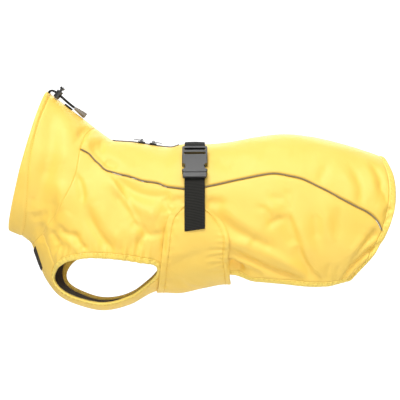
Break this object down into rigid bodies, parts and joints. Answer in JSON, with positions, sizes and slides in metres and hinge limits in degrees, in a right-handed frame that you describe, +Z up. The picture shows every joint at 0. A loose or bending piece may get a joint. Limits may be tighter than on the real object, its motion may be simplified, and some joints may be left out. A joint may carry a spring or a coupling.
{
  "type": "dog raincoat",
  "caption": "Soft-shell rain coat for a small dog: stand-up collar with drawstring, leash zip, chest and belly panels, girth strap with side-release buckle.",
  "frame": {"origin": "inner face of the back on the spine, under the girth strap, where the wearer carries the coat", "axes": "+X from the neck to the tail, -Y to the dog's left with the buckle, +Z up"},
  "size_m": [0.4852, 0.1482, 0.2847],
  "materials": {
    "cloth": "matt coated softshell, warm yellow",
    "binding": "matt elastic binding, warm yellow",
    "lining": "dark brown mesh",
    "piping": "grey-brown reflective piping",
    "webbing": "black ribbed webbing",
    "plastic": "black moulded plastic",
    "cord": "black braided elastic cord",
    "cord_end": "dark grey-brown moulded plastic",
    "zip": "dark zip tape and coil",
    "label": "plain dark woven label"
  },
  "bodies": {
    "coat": {"collar": "cloth", "back_panel": "cloth", "side_panel_left": "cloth", "side_panel_right": "cloth", "chest_panel": "cloth", "chest_lining": "lining", "belly_panel": "cloth", "piping_left": "piping", "piping_right": "piping", "armhole_binding_left": "binding", "armhole_binding_right": "binding", "hem_band": "binding", "label": "label", "nape_keeper": "webbing", "zip_tape": "zip", "zip_coil": "zip", "zip_slider_front": "plastic", "zip_slider_rear": "plastic", "webbing_over_back": "webbing", "webbing_on_flap": "webbing", "buckle_female": "plastic", "buckle_male": "plastic", "drawstring_left": "cord", "drawstring_right": "cord", "cord_lock_barrel": "plastic", "cord_end": "cord_end"},
    "pull_front": {"zip_pull_front": "plastic"},
    "pull_rear": {"zip_pull_rear": "plastic"},
    "lock_plunger": {"cord_lock_plunger": "plastic"}
  },
  "joints": [
    {"name": "pull_front_swing", "type": "hinge", "parent": "coat", "child": "pull_front", "pos_m": [-0.06755, -0.00544, 0.00566], "axis": [0, 0.9931, 0.1171], "range_deg": [0, 110]},
    {"name": "pull_rear_swing", "type": "hinge", "parent": "coat", "child": "pull_rear", "pos_m": [-0.05305, -0.00544, 0.00343], "axis": [0, -0.993, -0.1177], "range_deg": [0, 110]},
    {"name": "lock_press", "type": "slide", "parent": "coat", "child": "lock_plunger", "axis": [-0.5937, 0.2284, -0.7716], "range_m": [0, 0.002], "stiffness_N_per_m": 300}
  ]
}
